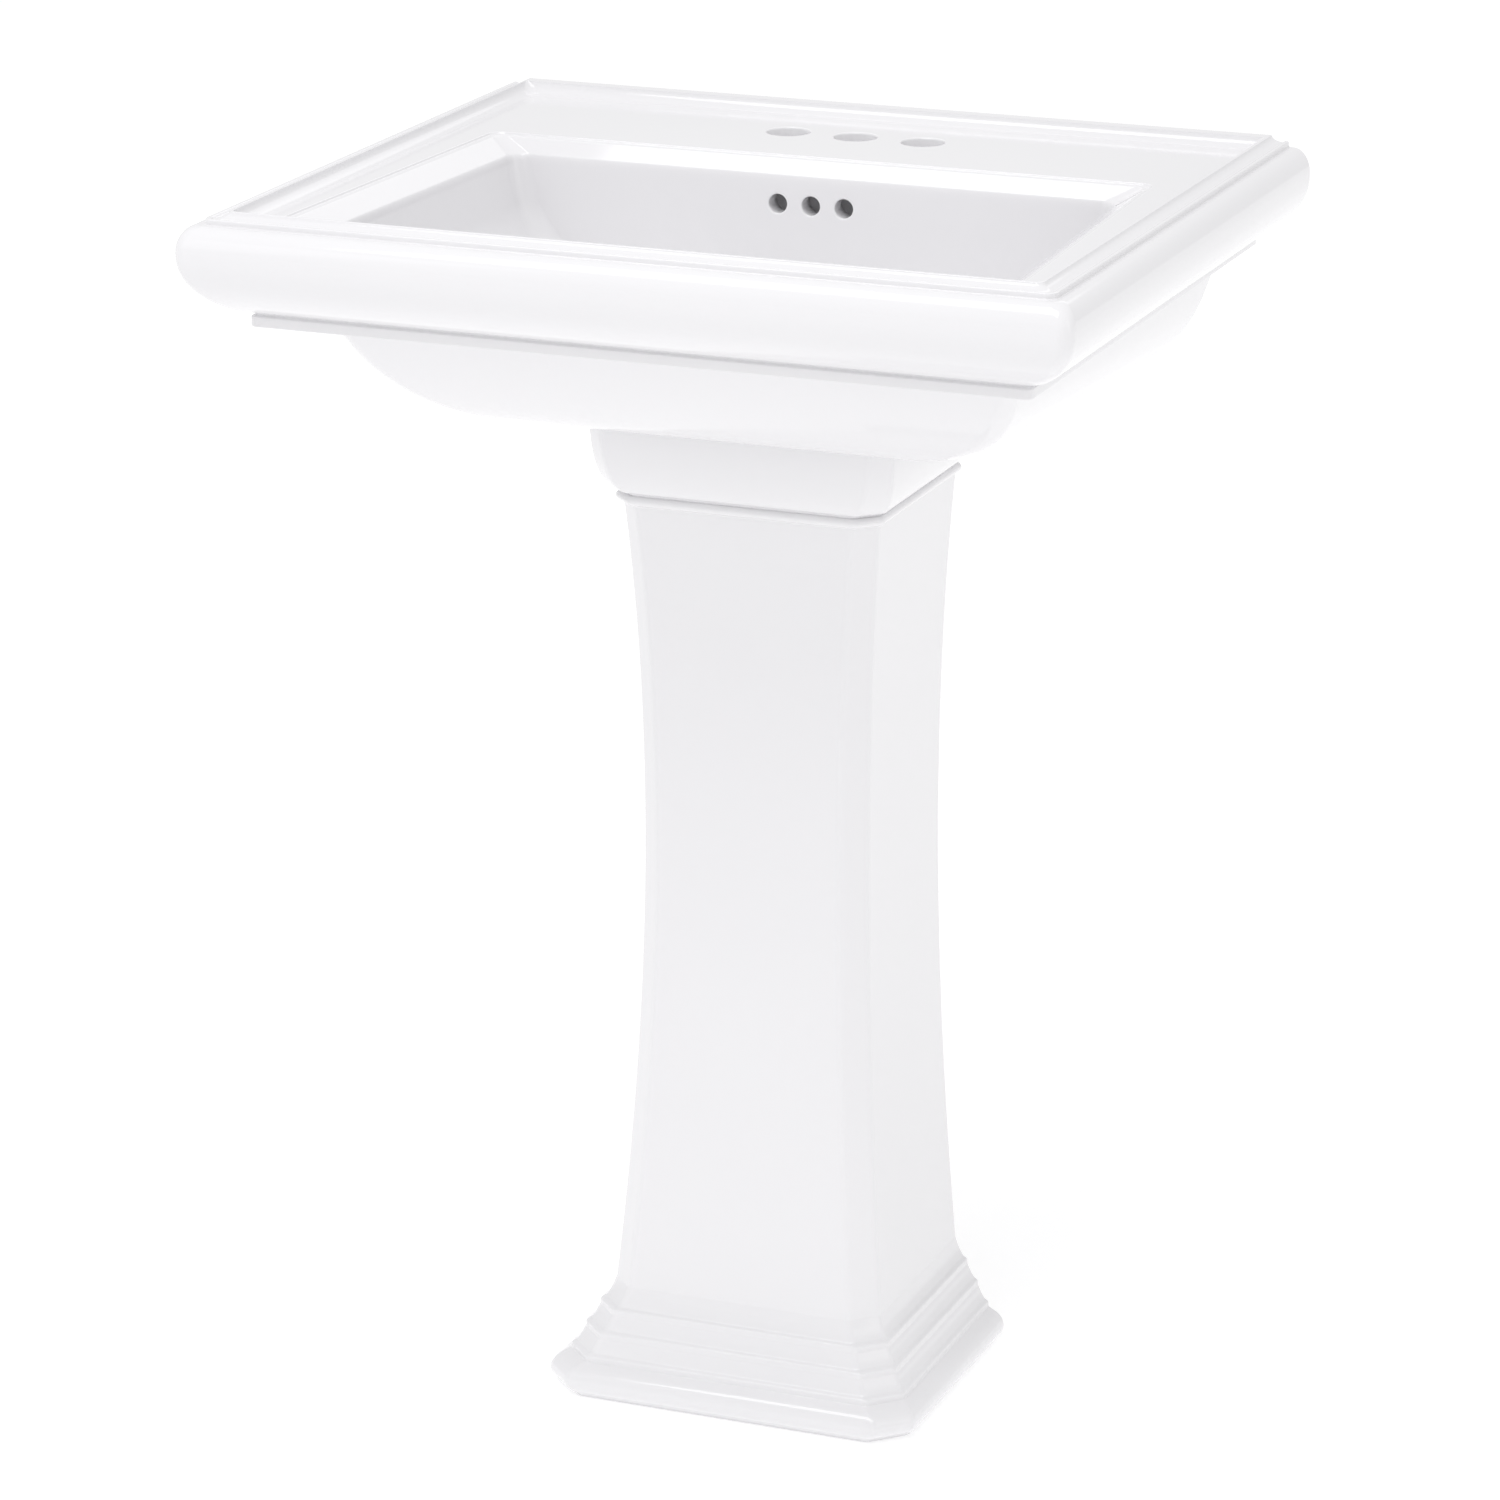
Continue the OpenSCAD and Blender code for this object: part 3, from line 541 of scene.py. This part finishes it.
def makeWearAndShadeGroup():
    # where an edge or a recess is, from 0 to 1: worn edges, and painted shade in corners and recesses from
    # ambient occlusion
    group = bpy.data.node_groups.new("edgeWearAndPaintedShade", "ShaderNodeTree")
    for name, value in (("Reach", 0.002), ("Breakup Scale", 120)):
        socket = group.interface.new_socket(name, in_out="INPUT", socket_type="NodeSocketFloat")
        socket.default_value = value
    for name in ("Worn", "Painted Shade"):
        group.interface.new_socket(name, in_out="OUTPUT", socket_type="NodeSocketFloat")
    nodes, links = group.nodes, group.links
    entry, out = nodes.new("NodeGroupInput"), nodes.new("NodeGroupOutput")
    coords, geometry = nodes.new("ShaderNodeTexCoord"), nodes.new("ShaderNodeNewGeometry")
    noise = nodes.new("ShaderNodeTexNoise")
    links.new(coords.outputs["Object"], noise.inputs["Vector"])
    links.new(entry.outputs["Breakup Scale"], noise.inputs["Scale"])
    worn = rangeNode(nodes, links, geometry.outputs["Pointiness"], 0.52, 0.6, 0, 1)
    # painted shade: ambient occlusion finds the recesses where shade falls, and the colour is darkened
    # there
    occlusion = nodes.new("ShaderNodeAmbientOcclusion")
    occlusion.samples = 8
    links.new(entry.outputs["Reach"], occlusion.inputs["Distance"])
    shade = rangeNode(nodes, links, occlusion.outputs["AO"], 1, 0.3, 0, 1)
    for source, name in ((worn, "Worn"), (shade, "Painted Shade")):
        times = nodes.new("ShaderNodeMath")
        times.operation = "MULTIPLY"
        links.new(source, times.inputs[0])
        links.new(rangeNode(nodes, links, noise.outputs["Fac"], 0.35, 0.65, 0.2, 1), times.inputs[1])
        links.new(times.outputs["Value"], out.inputs[name])
    return group


def addCloud(nodes, group, cloud, speck, share):
    node = nodes.new("ShaderNodeGroup")
    node.node_tree = group
    for key, value in (("Cloud Scale", cloud), ("Speck Scale", speck), ("Speck Share", share)):
        node.inputs[key].default_value = value
    return node


def addBump(nodes, links, height, strength, distance, bsdf):
    bump = nodes.new("ShaderNodeBump")
    bump.inputs["Strength"].default_value = strength
    bump.inputs["Distance"].default_value = distance
    links.new(height, bump.inputs["Height"])
    links.new(bump.outputs["Normal"], bsdf.inputs["Normal"])


finishes = {
    # colour, second colour, roughness from and to, metallic,
    # (cloud scale, speck scale, speck share), bump, depth
    "china": ((0.822, 0.816, 0.83), (0.8, 0.794, 0.81), (0.035, 0.075), 0,
              (2.4, 34, 0.35), 0.05, 0.0006),
    "polishedChrome": ((0.62, 0.63, 0.645), (0.55, 0.56, 0.58), (0.05, 0.16), 1,
                       (14, 320, 0.5), 0.04, 0.0002),
    "castBrass": ((0.62, 0.44, 0.19), (0.48, 0.32, 0.13), (0.26, 0.5), 1,
                  (30, 420, 0.6), 0.22, 0.0004),
    "zincPlate": ((0.58, 0.59, 0.60), (0.45, 0.46, 0.47), (0.24, 0.46), 1,
                  (45, 520, 0.5), 0.16, 0.0003),
    "blackRubber": ((0.022, 0.022, 0.024), (0.04, 0.04, 0.041), (0.5, 0.72), 0,
                    (40, 700, 0.7), 0.25, 0.0003),
    "padRubber": ((0.56, 0.56, 0.54), (0.47, 0.47, 0.45), (0.5, 0.7), 0,
                  (40, 600, 0.7), 0.2, 0.0003),
    "whiteNylon": ((0.72, 0.715, 0.69), (0.64, 0.635, 0.6), (0.3, 0.5), 0,
                   (35, 500, 0.6), 0.12, 0.0003),
}


def makeFinish(name, s, cloudGroup, wearAndShadeGroup):
    colour, second, rough, metal, size, strength, depth = s
    shadeShare, wearShare = (0.12, 0.02) if name == "china" else (0.6, 0.12)  # the glaze takes little painted shade and little wear
    material, nodes, links, bsdf = nodeMaterial(name)
    cloud = addCloud(nodes, cloudGroup, *size)
    edge = nodes.new("ShaderNodeGroup")
    edge.node_tree = wearAndShadeGroup
    base = tintNode(nodes, links, cloud.outputs["Cloud"], colour, second)
    # painted shade: the base colour is darkened towards a dimmer copy of the second colour in recesses
    # found by ambient occlusion
    shadedColour = nodes.new("ShaderNodeMix")
    shadedColour.data_type = "RGBA"
    shadedColour.inputs["B"].default_value = (*(c * 0.86 for c in second), 1)
    links.new(base, shadedColour.inputs["A"])
    links.new(rangeNode(nodes, links, edge.outputs["Painted Shade"], 0, 1, 0, shadeShare), shadedColour.inputs["Factor"])
    links.new(shadedColour.outputs["Result"], bsdf.inputs["Base Color"])
    spread = rangeNode(nodes, links, cloud.outputs["Height"], 0, 1, *rough)
    worn = nodes.new("ShaderNodeMath")
    worn.operation = "MULTIPLY_ADD"
    worn.inputs[1].default_value = wearShare
    links.new(edge.outputs["Worn"], worn.inputs[0])
    links.new(spread, worn.inputs[2])
    links.new(worn.outputs["Value"], bsdf.inputs["Roughness"])
    bsdf.inputs["Metallic"].default_value = metal
    addBump(nodes, links, cloud.outputs["Height"], strength, depth, bsdf)
    if name == "china":
        bsdf.inputs["IOR"].default_value = 1.52
        bsdf.inputs["Coat Weight"].default_value = 0.25
        bsdf.inputs["Coat Roughness"].default_value = 0.03
    return material


def paperMaterial(cloudGroup):
    material, nodes, links, bsdf = nodeMaterial("floorPaper")
    cloud = addCloud(nodes, cloudGroup, 1.2, 60, 0.4)
    base = tintNode(nodes, links, cloud.outputs["Cloud"], (0.8, 0.8, 0.8), (0.785, 0.785, 0.785))
    links.new(base, bsdf.inputs["Base Color"])
    links.new(rangeNode(nodes, links, cloud.outputs["Speck"], 0, 1, 0.75, 0.9), bsdf.inputs["Roughness"])
    addBump(nodes, links, cloud.outputs["Height"], 0.05, 0.0005, bsdf)
    bsdf.inputs["Emission Color"].default_value = (1, 1, 1, 1)
    bsdf.inputs["Emission Strength"].default_value = 0.37  # a lit sweep
    return material


# which finish each part that keeps its own shape takes

nodeFinishes = {
    "polishedChrome": ["drain_body", "stopper_cap", "tailpiece", "inlet_slip_nut", "trap_bend",
                       "outlet_slip_nut", "trap_arm", "wall_escutcheon"],
    "castBrass": ["drain_locknut", "stopper_stem"],
    "zincPlate": ["hanger_bolts", "hanger_washers", "hanger_nuts", "floor_bolt", "floor_washer",
                  "floor_nut", "drain_washer"],
    "blackRubber": ["drain_gasket", "stopper_seal"],
    "padRubber": ["cushion_pads"],
    "whiteNylon": ["flange_seal", "stopper_cartridge", "inlet_slip_washer", "outlet_slip_washer"],
}


def finishNodes():
    for name, nodes in nodeFinishes.items():
        for node in nodes:
            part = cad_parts[node]
            part.data.materials.clear()
            part.data.materials.append(materials[name])


cloudGroup, wearAndShadeGroup = makeCloudGroup(), makeWearAndShadeGroup()
materials = {name: makeFinish(name, s, cloudGroup, wearAndShadeGroup) for name, s in finishes.items()}
print("finishes made")
addCamera(viewSetup)
addStudio(lightSetup, paperMaterial(cloudGroup))
print("camera and light placed")
makeBasin(basinSize)
makePedestal(pedestalSize)
finishNodes()
print("china and fittings made")
